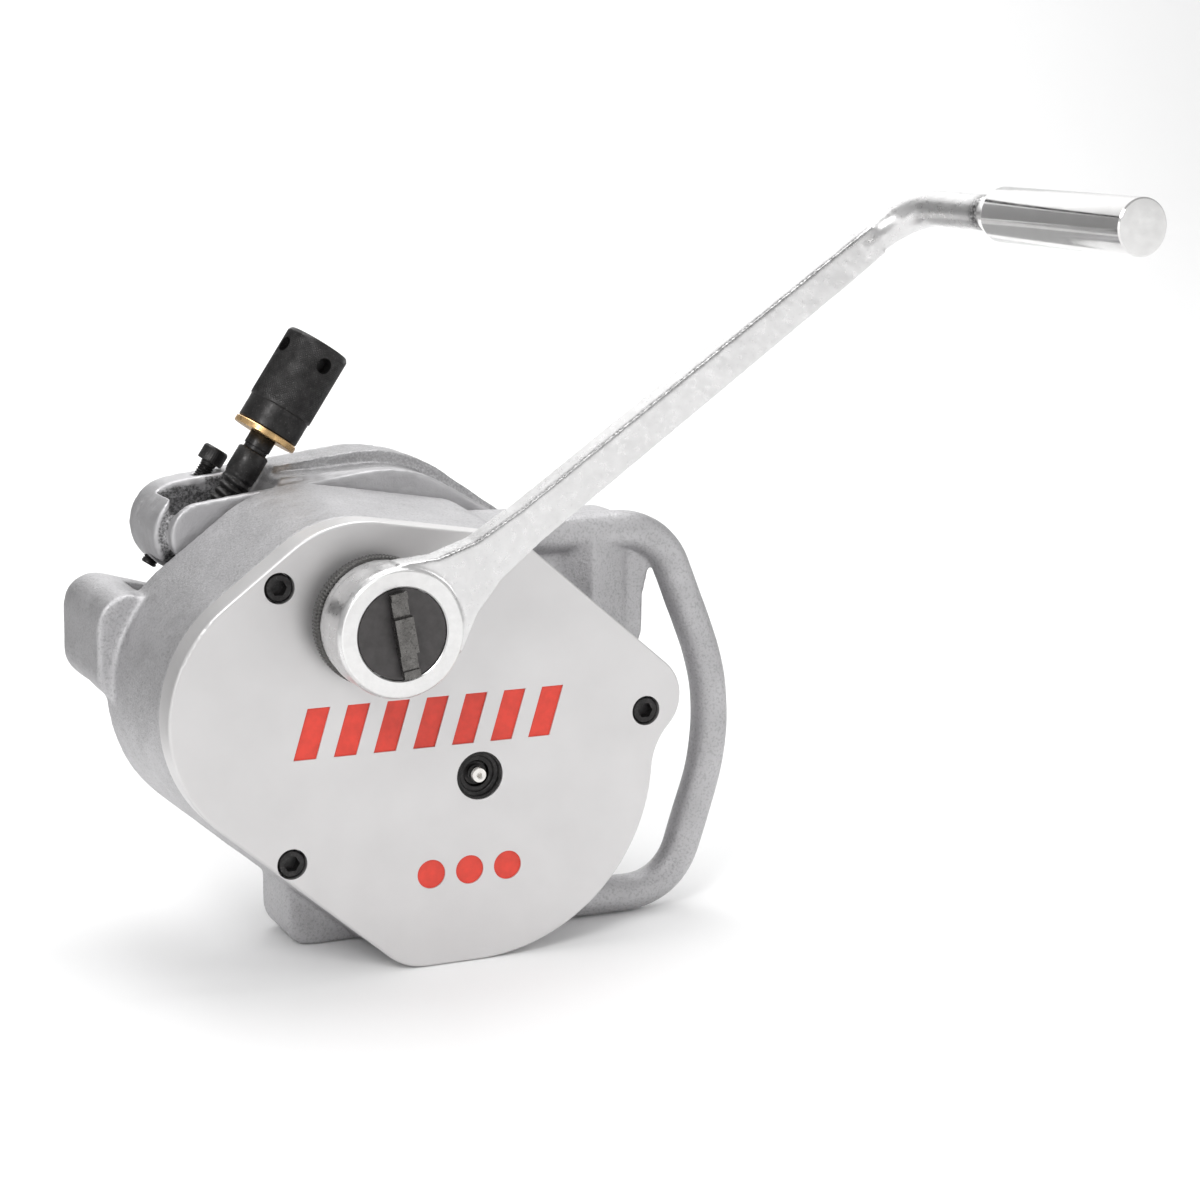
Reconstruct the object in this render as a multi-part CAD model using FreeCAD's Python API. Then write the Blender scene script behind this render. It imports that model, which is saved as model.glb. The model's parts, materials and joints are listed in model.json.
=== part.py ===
import FreeCAD, Part
import math
import os

# Manual roll groover for pipe. Millimetres, +Z up.
# Origin: on the rest plane, straight below the drive axis, in the mid-plane of the carrying handle.
# The drive axis runs along +Y, towards the pipe. The gear cover faces -Y.

Vector = FreeCAD.Vector

# ---------------------------------------------------------------- driving dimensions
DRIVE_Z = 70.0                    # height of the drive axis above the rest plane

COVER_FRONT = -33.0               # Y stations of the gear case, front to rear
CASE_FRONT = -21.0
WALL_FRONT = 19.0
CASE_REAR = 37.0
CASE_DRAFT = 4.0                  # how far the casting flares from front to rear
CASE_WALL = 6.5

CASE_RADIUS = 70.0                # outline round the bull gear
LEFT_LOBE = (-64.0, 28.2, 51.6)   # X, Z from the drive axis, radius
TOP_LOBE = (-45.0, 53.4, 43.0)
SHOULDER = (8.6, 74.0, 14.0)
RIGHT_LOBE = (65.0, 23.0, 16.3)
BASE_CORNER = (-20.7, -48.0, 22.0)
NOTCH_RADIUS = 25.0

COVER_SCREWS = [(-75.2, 74.7), (-71.8, -25.1), (66.9, 18.1), (2.0, 78.5)]
COVER_DOWELS = [(-99.0, 60.0), (40.0, -50.5)]
MARK_DEPTH, PAINT_THICKNESS = 0.9, 0.3  # marks sunk into the cover, and the paint on their floor

INPUT = (-42.2, 62.3)             # input pinion axis, from the drive axis
INPUT_TEETH, GEAR_TEETH, INPUT_MODULE = 12, 35, 2.0
IDLER_TEETH, BULL_TEETH, BULL_MODULE = 13, 46, 2.5
PRESSURE_ANGLE = math.radians(20)
ADDENDUM, DEDENDUM = 0.80, 1.15   # stub teeth, in modules
TOOTH_THINNING = 0.22             # backlash taken off each tooth at the pitch circle
FRONT_GEARS = (-18.0, -6.0)       # Y of the first gear pair
REAR_GEARS = (-2.0, 16.0)         # Y of the second gear pair

RUNNING = 0.04                    # radial clearance of a running fit
SLIP = 0.05                       # radial clearance of a located fit

PIVOT = (66.0, 48.0)              # arm pivot, from the drive axis
PIVOT_RADIUS = 8.0
ARM_FRONT, ARM_REAR = 39.5, 80.0
ROLL_SPACE = (47.5, 71.0)
ROLL_AXIS = (0.0, 54.0)           # groove roll axis, from the drive axis
ROLL_SHAFT_RADIUS = 9.0
NOSE = (-80.5, 82.0, 17.3)
HUMP = (-10.0, 52.5, 55.5)
FRONT_NOSE_STEP, FRONT_HUMP_STEP = 5.0, 5.0

FEED_TILT = math.radians(33.3)    # feed screw, leaning to the right from the vertical
FEED_Y = 54.0
FEED_POINT = (-65.5, 95.5)        # where the screw crosses the pocket's rim
KNOB_HOLE_TURN = math.radians(9)  # of the knob's cross holes, from facing the front
SCREW_RADIUS = 6.0
NUT_DROP, ANCHOR_DROP = 22.0, 70.0  # nut and anchor centres, down the screw from that rim
NUT_CLEARANCE = 0.55              # lets the linearised linkage run free
ANCHOR_RADIUS = 9.0
STOP_Y, STOP_OFFSET = 72.0, 7.0

HEAD_FRONT, HEAD_REAR = -66.0, -44.0  # ratchet head
HEAD_RADIUS = 23.2
WHEEL_RADIUS = 17.0
SQUARE = 12.7                     # half-inch square drive
LEVER_Y = -59.0
LEVER_END = (159.3, 204.6)        # where the lever's axis meets the grip's axis
BEND_RADIUS = 20.0
LEVER_HALF_WIDTH = 5.9            # at the bend
NECK_RADIUS = 6.4
GRIP_START, GRIP_END = -112.0, -199.0
GRIP_RADIUS = 9.55
SPINDLE_RADIUS = 5.5

HANDLE_RADIUS = 7.2
HANDLE_TOP = (70.0, 57.0, 24.5)   # bends of the bar's centre line
HANDLE_SIDE = (18.5, 4.5, 92.0)
HANDLE_BOTTOM = (76.0, -38.5, 24.2)
HANDLE_ROOT_X = 24.0

JOIN_GAP = 1e-4                   # lengths below this count as zero


# ---------------------------------------------------------------- helpers
def point(x, y, z):
    """A point given from the drive axis, in the part's frame."""
    return Vector(x, y, z + DRIVE_Z)


def rod(radius, y0, y1, at=(0.0, 0.0)):
    """A cylinder along Y."""
    return Part.makeCylinder(radius, y1 - y0, point(at[0], y0, at[1]), Vector(0, 1, 0))


def ring(outer, inner, y0, y1, at=(0.0, 0.0)):
    return rod(outer, y0, y1, at).cut(rod(inner, y0 - 1, y1 + 1, at))


def block(x0, x1, y0, y1, z0, z1):
    """A box with Z given from the drive axis."""
    return Part.makeBox(x1 - x0, y1 - y0, z1 - z0, point(x0, y0, z0))


def turned(stations, at=(0.0, 0.0)):
    """A shaft along Y from (radius, y0, y1) steps."""
    steps = [rod(radius, y0, y1, at) for radius, y0, y1 in stations]
    return fused(steps)


def fused(shapes):
    whole = shapes[0]
    for shape in shapes[1:]:
        whole = whole.fuse(shape)
    return whole.removeSplitter()


def polygon(points, y):
    corners = [point(x, y, z) for x, z in points]
    return Part.makePolygon(corners + corners[:1])


def prism(points, y0, y1):
    return Part.Face(polygon(points, y0)).extrude(Vector(0, y1 - y0, 0))


def meeting(a, ra, b, rb, side):
    """Where circles round a and b cross; side picks left (+1) or right (-1) of a to b."""
    dx, dz = b[0] - a[0], b[1] - a[1]
    gap = math.hypot(dx, dz)
    along = (ra * ra - rb * rb + gap * gap) / (2 * gap)
    across = side * math.sqrt(ra * ra - along * along)
    return (a[0] + (along * dx - across * dz) / gap, a[1] + (along * dz + across * dx) / gap)


def belt(discs, y):
    """A closed clockwise wire round discs (x, z, radius); a negative radius is a hollow corner."""
    touches = []
    for one, two in zip(discs, discs[1:] + discs[:1]):
        dx, dz = two[0] - one[0], two[1] - one[1]
        gap = math.hypot(dx, dz)
        turn = math.asin(max(-1.0, min(1.0, (two[2] - one[2]) / gap)))
        normal = math.atan2(dz, dx) + math.pi / 2 + turn
        touches.append([(c[0] + c[2] * math.cos(normal), c[1] + c[2] * math.sin(normal), normal)
                        for c in (one, two)])
    edges = []
    for i, disc in enumerate(discs):
        enter, leave, onward = touches[i - 1][1], touches[i][0], touches[i][1]
        sweep = (enter[2] - leave[2]) % (2 * math.pi)
        if disc[2] < 0:
            sweep -= 2 * math.pi
        middle = enter[2] - sweep / 2
        crest = point(disc[0] + disc[2] * math.cos(middle), y, disc[1] + disc[2] * math.sin(middle))
        start, end, after = (point(spot[0], y, spot[1]) for spot in (enter, leave, onward))
        apart = end.distanceToPoint(after) > JOIN_GAP
        edges.append(Part.Arc(start, crest, end if apart else after).toShape())
        if apart:
            edges.append(Part.LineSegment(end, after).toShape())
    return Part.Wire(edges)


def belt_prism(discs, y0, y1):
    return Part.Face(belt(discs, y0)).extrude(Vector(0, y1 - y0, 0))


def case_outline(grow):
    """The case's outline, grown outwards all round by grow."""
    notch = meeting((0, 0), CASE_RADIUS + NOTCH_RADIUS,
                    RIGHT_LOBE[:2], RIGHT_LOBE[2] + NOTCH_RADIUS, -1)
    discs = [(0.0, 0.0, CASE_RADIUS), BASE_CORNER, LEFT_LOBE, TOP_LOBE, SHOULDER, RIGHT_LOBE,
             (notch[0], notch[1], -NOTCH_RADIUS)]
    return [(x, z, radius + grow) for x, z, radius in discs]


def gear(teeth, module, y0, y1, at, towards, tooth_there):
    """A spur gear with a tooth, or a gap, centred on the line towards another axis."""
    pitch = teeth * module / 2
    base = pitch * math.cos(PRESSURE_ANGLE)
    tip, root = pitch + ADDENDUM * module, pitch - DEDENDUM * module
    half = math.pi / (2 * teeth) - TOOTH_THINNING / (2 * pitch)
    involute = math.tan(PRESSURE_ANGLE) - PRESSURE_ANGLE

    def half_angle(radius):
        lean = math.acos(base / max(radius, base))
        return half + involute - (math.tan(lean) - lean)

    first = math.atan2(towards[1] - at[1], towards[0] - at[0])
    if not tooth_there:
        first += math.pi / teeth
    radii = [root, max(base, root + 0.2), (max(base, root) + pitch) / 2, pitch, (pitch + tip) / 2, tip]
    corners = []
    for tooth in range(teeth):
        centre = first + 2 * math.pi * tooth / teeth
        flank = [(radius, half_angle(radius)) for radius in radii]
        for radius, angle in flank:
            corners.append((radius, centre - angle))
        for radius, angle in reversed(flank):
            corners.append((radius, centre + angle))
    points = [(at[0] + r * math.cos(a), at[1] + r * math.sin(a)) for r, a in corners]
    return prism(points, y0, y1)


def feed_point(down, across=0.0):
    """A point in the feed screw's plane: down the screw, and across it to the upper left."""
    x = FEED_POINT[0] - down * math.sin(FEED_TILT) - across * math.cos(FEED_TILT)
    z = FEED_POINT[1] - down * math.cos(FEED_TILT) + across * math.sin(FEED_TILT)
    return x, z


def feed_rod(radius, top, bottom, across=0.0, y=FEED_Y):
    """A cylinder along the feed screw's direction, between two distances down it."""
    x, z = feed_point(bottom, across)
    up = Vector(math.sin(FEED_TILT), 0, math.cos(FEED_TILT))
    return Part.makeCylinder(radius, bottom - top, point(x, y, z), up)


def hexagon(across_flats, length, base, direction):
    """A hexagonal prism from base along direction."""
    radius = across_flats / math.sqrt(3)
    corners = [Vector(radius * math.cos(k * math.pi / 3), radius * math.sin(k * math.pi / 3), 0)
               for k in range(6)]
    solid = Part.Face(Part.makePolygon(corners + corners[:1])).extrude(Vector(0, 0, length))
    solid.Placement = FreeCAD.Placement(base, FreeCAD.Rotation(Vector(0, 0, 1), direction))
    return solid


def idler_axis():
    """The intermediate shaft meshes with the input pinion and with the bull gear."""
    to_bull = (IDLER_TEETH + BULL_TEETH) * BULL_MODULE / 2
    to_input = (INPUT_TEETH + GEAR_TEETH) * INPUT_MODULE / 2
    return meeting((0, 0), to_bull, INPUT, to_input, 1)


IDLER = idler_axis()


# ---------------------------------------------------------------- housing
def case_body():
    front = belt(case_outline(0), CASE_FRONT)
    rear = belt(case_outline(CASE_DRAFT), CASE_REAR)
    return Part.makeLoft([front, rear], True, True)


def gear_space():
    """The hollow for the gears, less the posts that take the cover screws."""
    hollow = belt_prism(case_outline(-CASE_WALL), CASE_FRONT - 1, WALL_FRONT)
    for at in COVER_SCREWS:
        hollow = hollow.cut(rod(8.0, CASE_FRONT - 2, WALL_FRONT + 1, at))
    return hollow


def plan_prism(corners, z0, z1):
    """A prism standing on z0, from (x, y) corners."""
    base = [point(x, y, z0) for x, y in corners]
    return Part.Face(Part.makePolygon(base + base[:1])).extrude(Vector(0, 0, z1 - z0))


def pivot_lugs():
    """The wedge-fronted boss at the right shoulder, its web, and the bridge round the arm's hub."""
    boss = belt_prism([(66.0, 40.0, 12.0), (61.5, 76.0, 7.5), (73.0, 75.0, 8.0), (71.0, 42.0, 10.0)],
                      0.0, 38.0)
    wedge = plan_prism([(44.0, 1.0), (56.5, -8.0), (73.0, -1.0), (73.0, 1.0)], 28.0, 84.0)
    slope = prism([(40.0, 73.0), (56.5, 83.0), (76.0, 80.0), (76.0, 100.0), (40.0, 100.0)], -10.0, 0.0)
    web = belt_prism([(30.0, 50.0, 10.0), (16.0, 72.0, 14.0), (75.5, 75.0, 10.0), (68.0, 50.0, 12.0)],
                     0.0, 38.0)
    bridge = belt_prism([(84.0, 38.0, 9.0), (84.0, 58.0, 9.0), (85.0, 58.0, 9.0), (85.0, 38.0, 9.0)],
                        25.0, 92.0).cut(rod(18.5, 38.0, 81.0, PIVOT))
    rear_lug = belt_prism([(PIVOT[0], PIVOT[1], 15.0), (80.0, 52.0, 14.0), (80.0, 46.0, 14.0)], 81.0, 92.0)
    return [boss, wedge.cut(slope), web, bridge, rear_lug]


def feed_boss():
    """The slotted boss at the left that holds the feed screw's anchor."""
    outline = [(-112.5, 36.5, 12.5), (-113.0, 53.0, 11.5), (-93.0, 53.0, 6.0), (-92.0, 30.0, 6.0)]
    boss = belt_prism(outline, 26.0, 77.0)
    slot = block(-104.0, -80.0, 44.0, 64.0, 10.0, 80.0).fuse(block(-121.0, -103.0, 44.0, 64.0, 10.0, 52.0))
    bore = rod(ANCHOR_RADIUS + SLIP, 38.5, 81.0, feed_point(ANCHOR_DROP))
    rib = block(-100.0, -50.0, 36.0, 43.9, 22.0, 40.0)
    return fused([boss.cut(slot).cut(bore), rib.cut(bore)])


def base_foot():
    outline = [(-51.0, -60.0, 10.0), (-51.0, -30.0, 10.0), (-34.0, -30.0, 10.0), (-34.0, -60.0, 10.0)]
    return belt_prism(outline, 7.0, CASE_REAR)


def handle_bar():
    """A round bar swept along three tangent bends, from the shoulder round to the base."""
    roots = [(HANDLE_ROOT_X, bend[1], bend[2]) for bend in (HANDLE_TOP, HANDLE_BOTTOM)]
    loop = belt([roots[0], HANDLE_TOP, HANDLE_SIDE, HANDLE_BOTTOM, roots[1]], 0.0)
    path = Part.Wire(loop.OrderedEdges[1:8])
    first = path.OrderedVertexes[0].Point
    section = Part.Wire(Part.makeCircle(HANDLE_RADIUS, first, Vector(1, 0, 0)))
    return path.makePipeShell([section], True, True).fuse(Part.makeSphere(HANDLE_RADIUS, first))


def gear_case():
    case = fused([case_body(), feed_boss(), base_foot(), handle_bar(), rod(28.0, CASE_REAR - 1, 43.0)]
                 + pivot_lugs())
    cuts = [gear_space(), rod(26.0 + SLIP, WALL_FRONT - 1, 35.0), rod(16.0, 34.0, 44.0),
            rod(20.0 + SLIP, 36.0, 44.0),
            rod(11.0 + SLIP, WALL_FRONT - 1, 31.0, INPUT), rod(11.0 + SLIP, WALL_FRONT - 1, 31.0, IDLER),
            rod(PIVOT_RADIUS + SLIP, 22.0, 94.0, PIVOT), block(-200, 200, -60, 120, -120, -DRIVE_Z)]
    cuts += [rod(3.0 + SLIP, CASE_FRONT - 1, 0.0, at) for at in COVER_SCREWS]
    cuts += [rod(3.0 + SLIP, CASE_FRONT - 1, -13.0, at) for at in COVER_DOWELS]
    for cut in cuts:
        case = case.cut(cut)
    return case


def mark_shapes(y0, y1):
    """Plain slanted bars and dots that decorate the cover; they spell nothing."""
    marks = []
    for k in range(7):
        x = -71.0 + 15.0 * k
        marks.append(prism([(x, 12.5), (x + 8.5, 12.5), (x + 14.0, 31.0), (x + 5.5, 31.0)], y0, y1))
    for k in range(3):
        marks.append(rod(5.4, y0, y1, (-19.0 + 15.0 * k, -35.0)))
    return marks


def front_cover():
    cover = belt_prism(case_outline(0), COVER_FRONT, CASE_FRONT)
    rim = [edge for edge in cover.Edges
           if all(abs(v.Point.y - COVER_FRONT) < JOIN_GAP for v in edge.Vertexes)]
    cover = cover.makeFillet(1.2, rim)
    cuts = [rod(9.0, COVER_FRONT - 1, -29.0), rod(14.0 + SLIP, -30.0, CASE_FRONT + 1),
            rod(16.0 + SLIP, COVER_FRONT - 1, CASE_FRONT + 1, INPUT),
            rod(11.0 + SLIP, -29.5, CASE_FRONT + 1, IDLER)]
    for at in COVER_SCREWS:
        cuts += [rod(5.6, COVER_FRONT - 1, COVER_FRONT + 6.6, at), rod(3.3, COVER_FRONT, CASE_FRONT + 1, at)]
    cuts += [rod(3.0 + SLIP, -29.0, CASE_FRONT + 1, at) for at in COVER_DOWELS]
    cuts += mark_shapes(COVER_FRONT, COVER_FRONT + MARK_DEPTH)
    for cut in cuts:
        cover = cover.cut(cut)
    return cover


def socket_screw(head_radius, head_length, radius, length, base, direction):
    """A cap screw: base is under the head, and direction points out of the head."""
    head = Part.makeCylinder(head_radius, head_length, base, direction)
    shank = Part.makeCylinder(radius, length, base, -1 * direction)
    socket = hexagon(head_radius, head_length * 0.55, base + direction * (head_length * 0.46), direction)
    return head.fuse(shank).cut(socket)


def cover_screws():
    under_head = COVER_FRONT + 6.6
    return Part.makeCompound([socket_screw(5.0, 6.0, 3.0, 22.0, point(x, under_head, z), Vector(0, -1, 0))
                              for x, z in COVER_SCREWS])


def bearing_balls():
    balls = []
    for k in range(9):
        angle = 2 * math.pi * k / 9
        centre = point(19.4 * math.cos(angle), 27.5, 19.4 * math.sin(angle))
        balls.append(Part.makeSphere(3.7, centre))
    return Part.makeCompound(balls)


def raceway(ring_shape):
    return ring_shape.cut(Part.makeTorus(19.4, 3.9, point(0, 27.5, 0), Vector(0, 1, 0)))


def housing_parts():
    parts = {"gear_case": gear_case(), "front_cover": front_cover(), "cover_screws": cover_screws()}
    parts["cover_dowels"] = Part.makeCompound([rod(3.0, -28.5, -13.5, at) for at in COVER_DOWELS])
    parts["cover_marks"] = Part.makeCompound(
        mark_shapes(COVER_FRONT + MARK_DEPTH - PAINT_THICKNESS, COVER_FRONT + MARK_DEPTH))
    parts["drive_front_bush"] = ring(14.0, 10.0 + RUNNING, -30.0, CASE_FRONT)
    parts["drive_bearing_outer"] = raceway(ring(26.0, 21.5, 20.0, 35.0))
    parts["drive_bearing_balls"] = bearing_balls()
    parts["drive_shaft_seal"] = ring(20.0, 12.6, 36.2, 43.0)
    parts["input_front_bush"] = ring(16.0, 13.0 + RUNNING, COVER_FRONT, CASE_FRONT, INPUT)
    parts["input_rear_bush"] = ring(11.0, 8.0 + RUNNING, WALL_FRONT, 31.0, INPUT)
    parts["intermediate_bushes"] = Part.makeCompound([
        ring(11.0, 8.0 + RUNNING, -29.5, CASE_FRONT, IDLER),
        ring(11.0, 8.0 + RUNNING, WALL_FRONT, 31.0, IDLER)])
    pin_steps = [(PIVOT_RADIUS, 22.5, 92.0), (6.6, 92.0, 93.2), (PIVOT_RADIUS, 93.2, 95.0)]
    parts["arm_pivot_pin"] = turned(pin_steps, PIVOT)
    parts["pivot_pin_clip"] = ring(10.5, 6.7, 92.05, 93.15, PIVOT).cut(
        block(PIVOT[0] - 3, PIVOT[0] + 3, 91, 94, PIVOT[1] - 12, PIVOT[1]))
    return parts


# ---------------------------------------------------------------- drive train
def main_shaft():
    shaft = turned([(10.0, -29.4, -20.5), (12.0, -20.5, -2.0), (14.0, -2.0, 16.0), (16.0, 16.0, 19.8),
                    (12.5, 19.8, 44.0), (11.0, 44.0, 81.2), (10.0, 81.2, 95.0)])
    shaft = shaft.cut(rod(5.0, -30.0, -26.5)).cut(rod(1.5, -27.0, 8.0))
    shaft = shaft.cut(block(-4.0, 4.0, -1.0, 15.0, 10.0, 15.0))
    return shaft.cut(block(-3.0, 3.0, 52.0, 74.0, 7.5, 12.0))


def bull_gear():
    wheel = gear(BULL_TEETH, BULL_MODULE, REAR_GEARS[0], REAR_GEARS[1], (0, 0), IDLER, True)
    wheel = wheel.cut(rod(14.0 + SLIP, -3.0, 17.0)).cut(block(-4.05, 4.05, -3.0, 17.0, 10.0, 17.5))
    for k in range(6):
        angle = 2 * math.pi * (k + 0.5) / 6
        wheel = wheel.cut(rod(9.0, -3.0, 17.0, (36.0 * math.cos(angle), 36.0 * math.sin(angle))))
    return wheel


def drive_roll():
    roll = turned([(27.0, 44.05, 50.0), (22.0, 50.0, 57.0), (18.0, 57.0, 65.0), (22.0, 65.0, 78.0)])
    return roll.cut(rod(11.0 + SLIP, 43.0, 79.0)).cut(block(-3.05, 3.05, 43.0, 79.0, 7.5, 14.2))


def grease_fitting(y):
    steps = [(4.6, y, y + 1.6), (3.3, y - 1.2, y), (2.4, y - 2.4, y - 1.2), (3.1, y - 4.6, y - 2.4)]
    return turned(steps).cut(rod(1.0, y - 5, y - 3.6))


def drive_parts():
    nut = hexagon(30.0, 10.5, point(0, 81.3, 0), Vector(0, 1, 0)).cut(rod(10.0 + SLIP, 80.0, 96.0))
    parts = {"main_shaft": main_shaft(), "bull_gear": bull_gear(), "drive_roll": drive_roll()}
    parts["roll_nut"] = nut
    parts["bull_gear_key"] = block(-3.98, 3.98, -0.98, 14.98, 10.0, 17.4)
    parts["gear_spacer"] = ring(15.5, 12.0 + SLIP, -20.4, -2.05)
    parts["drive_bearing_inner"] = raceway(ring(17.3, 12.5 + SLIP / 5, 20.0, 35.0))
    parts["roll_key"] = block(-2.98, 2.98, 52.02, 73.98, 7.5, 14.1)
    parts["roll_washer"] = ring(17.0, 11.0 + SLIP, 78.05, 81.15)
    parts["drive_grease_fitting"] = grease_fitting(-28.1)
    return parts


def intermediate_parts():
    steps = [(8.0, -29.0, -19.0), (10.0, -19.0, -6.0), (11.5, -6.0, -2.0), (8.0, 16.0, 30.8)]
    shaft = turned(steps, IDLER).fuse(gear(IDLER_TEETH, BULL_MODULE, -2.0, 16.0, IDLER, (0, 0), False))
    x, z = IDLER
    shaft = shaft.cut(block(x - 3, x + 3, -17.0, -7.0, z + 6.5, z + 12))
    wheel = gear(GEAR_TEETH, INPUT_MODULE, FRONT_GEARS[0], FRONT_GEARS[1], IDLER, INPUT, True)
    wheel = wheel.cut(rod(10.0 + SLIP, -19.0, -5.0, IDLER))
    wheel = wheel.cut(block(x - 3.05, x + 3.05, -19.0, -5.0, z + 6.5, z + 13.1))
    parts = {"intermediate_shaft": shaft, "intermediate_gear": wheel}
    parts["intermediate_key"] = block(x - 2.98, x + 2.98, -16.98, -7.02, z + 6.5, z + 13.0)
    return parts


def input_shaft():
    shaft = turned([(13.0, -37.5, -19.0), (10.0, -19.0, -18.0), (9.0, -6.0, -4.0), (8.0, -4.0, 30.8)], INPUT)
    shaft = shaft.fuse(gear(INPUT_TEETH, INPUT_MODULE, FRONT_GEARS[0], FRONT_GEARS[1], INPUT, IDLER, False))
    half = SQUARE / 2 + 0.1
    x, z = INPUT
    return shaft.cut(block(x - half, x + half, -38.0, -20.5, z - half, z + half))


def ratchet_wheel():
    """The toothed wheel inside the head, with its hub and square tang."""
    x, z = INPUT
    teeth = 24
    corners = []
    for k in range(teeth):
        for radius, step in ((WHEEL_RADIUS, 0.32), (15.3, 0.5), (WHEEL_RADIUS, 0.68)):
            angle = 2 * math.pi * (k + step) / teeth
            corners.append((x + radius * math.cos(angle), z + radius * math.sin(angle)))
    wheel = prism(corners, -62.8, -48.0)
    half = SQUARE / 2
    tang = block(x - half, x + half, -39.0, -21.5, z - half, z + half)
    return fused([wheel, rod(15.0, -48.2, -38.5, INPUT), tang])


def knurled_ring():
    teeth = 72
    x, z = INPUT
    corners = []
    for k in range(2 * teeth):
        radius = 23.4 if k % 2 else 22.9
        angle = math.pi * k / teeth
        corners.append((x + radius * math.cos(angle), z + radius * math.sin(angle)))
    return prism(corners, -43.4, -38.5).cut(rod(15.0 + SLIP, -45.0, -38.0, INPUT))


def input_parts():
    return {"input_shaft": input_shaft(), "ratchet_wheel": ratchet_wheel(), "knurled_ring": knurled_ring(),
            "ratchet_face_disc": rod(16.0, -65.6, -62.9, INPUT).fuse(rod(2.5, -68.2, -65.6, INPUT))}


# ---------------------------------------------------------------- ratchet wrench
def lever_frame():
    """Unit vector along the lever, from the head to the bend, and the lever's length."""
    dx, dz = LEVER_END[0] - INPUT[0], LEVER_END[1] - INPUT[1]
    length = math.hypot(dx, dz)
    return (dx / length, dz / length), length


def lever_point(along, across):
    (ux, uz), _ = lever_frame()
    return INPUT[0] + along * ux - across * uz, INPUT[1] + along * uz + across * ux


def lever_bar():
    _, length = lever_frame()
    stations = [(0.0, 21.0), (14.0, 19.5), (26.0, 12.4), (40.0, 8.3), (60.0, 6.9)]
    stations.append((length - BEND_RADIUS, LEVER_HALF_WIDTH))
    top = [lever_point(along, across) for along, across in stations]
    bottom = [lever_point(along, -across) for along, across in reversed(stations)]
    return prism(top + bottom, -64.5, -53.5)


def bend_and_neck():
    """The bend from the lever's direction to the grip's, with the neck and the grip's spindle."""
    (ux, uz), length = lever_frame()
    start = lever_point(length - BEND_RADIUS - 6, 0)
    bend_start = lever_point(length - BEND_RADIUS, 0)
    sag = BEND_RADIUS * (1 - math.sqrt(0.5))
    middle = lever_point(length - sag, 0)
    end = lever_point(length, 0)
    p0, p1 = point(start[0], LEVER_Y, start[1]), point(bend_start[0], LEVER_Y, bend_start[1])
    p2 = point(middle[0], LEVER_Y - sag, middle[1])
    p3 = point(end[0], LEVER_Y - BEND_RADIUS, end[1])
    p4 = point(end[0], GRIP_START + 1, end[1])
    path = Part.Wire([Part.LineSegment(p0, p1).toShape(), Part.Arc(p1, p2, p3).toShape(),
                      Part.LineSegment(p3, p4).toShape()])
    section = Part.Wire(Part.makeCircle(NECK_RADIUS, p0, Vector(ux, 0, uz)))
    neck = path.makePipeShell([section], True, False)
    spindle = turned([(SPINDLE_RADIUS, GRIP_END + 9, GRIP_START + 2)], LEVER_END)
    groove = ring(8.0, 4.6, GRIP_END + 16, GRIP_END + 17.4, LEVER_END)
    return [neck, spindle.cut(groove)]


def ratchet_body():
    head = turned([(22.4, HEAD_FRONT, HEAD_FRONT + 1.2), (HEAD_RADIUS, HEAD_FRONT + 1.2, -50.0),
                   (HEAD_RADIUS - 0.8, -50.0, HEAD_REAR)], INPUT)
    body = fused([head, lever_bar()] + bend_and_neck())
    cuts = [rod(17.6, -63.1, -47.6, INPUT), rod(16.3, HEAD_FRONT - 1, -62.0, INPUT),
            rod(15.4, -49.0, HEAD_REAR + 1, INPUT), rod(20.0 + SLIP, -46.0, HEAD_REAR + 1, INPUT)]
    pocket = [lever_point(along, across) for along, across in ((15, -6), (31, -6), (31, 6), (15, 6))]
    cuts += [prism(pocket, -62.0, -56.0), rod(1.5 + SLIP, -63.5, -54.5, lever_point(27.0, 0))]
    for cut in cuts:
        body = body.cut(cut)
    return body


def pawl():
    outline = [lever_point(*p) for p in ((17.35, -1.2), (19.5, -3.4), (29.5, -3.4), (29.5, 3.4), (19.5, 3.4),
                                         (17.35, 1.2))]
    return prism(outline, -61.8, -56.2).cut(rod(1.5 + RUNNING, -63.0, -55.0, lever_point(27.0, 0)))


def selector_lever():
    """The two-ended reversing lever across the face disc, turned ten degrees from upright."""
    bar = [block(-3.0, 3.0, -68.4, -66.7, -15.2, 15.2), block(-3.4, 3.4, -70.4, -66.7, -6.4, 6.4),
           block(-3.0, 3.0, -69.6, -66.7, 12.6, 15.2), block(-3.0, 3.0, -69.2, -66.7, -15.2, -12.4)]
    lever = fused(bar)
    lever.rotate(point(0, 0, 0), Vector(0, 1, 0), -10.0)
    lever.translate(Vector(INPUT[0], 0, INPUT[1]))
    return lever.cut(rod(2.5 + RUNNING, -68.4, -66.0, INPUT))


def wrench_parts():
    parts = {"ratchet_body": ratchet_body(), "pawl": pawl(), "selector_lever": selector_lever()}
    parts["head_rear_plate"] = ring(20.0, 15.3, -45.9, HEAD_REAR, INPUT)
    parts["pawl_pin"] = rod(1.5, -63.4, -54.6, lever_point(27.0, 0))
    collar = (GRIP_RADIUS - 2.2, GRIP_START - 2.4, GRIP_START)
    sleeve = turned([collar, (GRIP_RADIUS, GRIP_END, GRIP_START - 2.2)], LEVER_END)
    sleeve = sleeve.cut(rod(SPINDLE_RADIUS + RUNNING, GRIP_END + 8, GRIP_START + 1, LEVER_END))
    parts["grip_sleeve"] = sleeve.cut(rod(7.2, GRIP_END + 15.9, GRIP_END + 17.5, LEVER_END))
    parts["grip_snap_ring"] = ring(6.9, 4.65, GRIP_END + 16.1, GRIP_END + 17.3, LEVER_END)
    return parts


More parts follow.
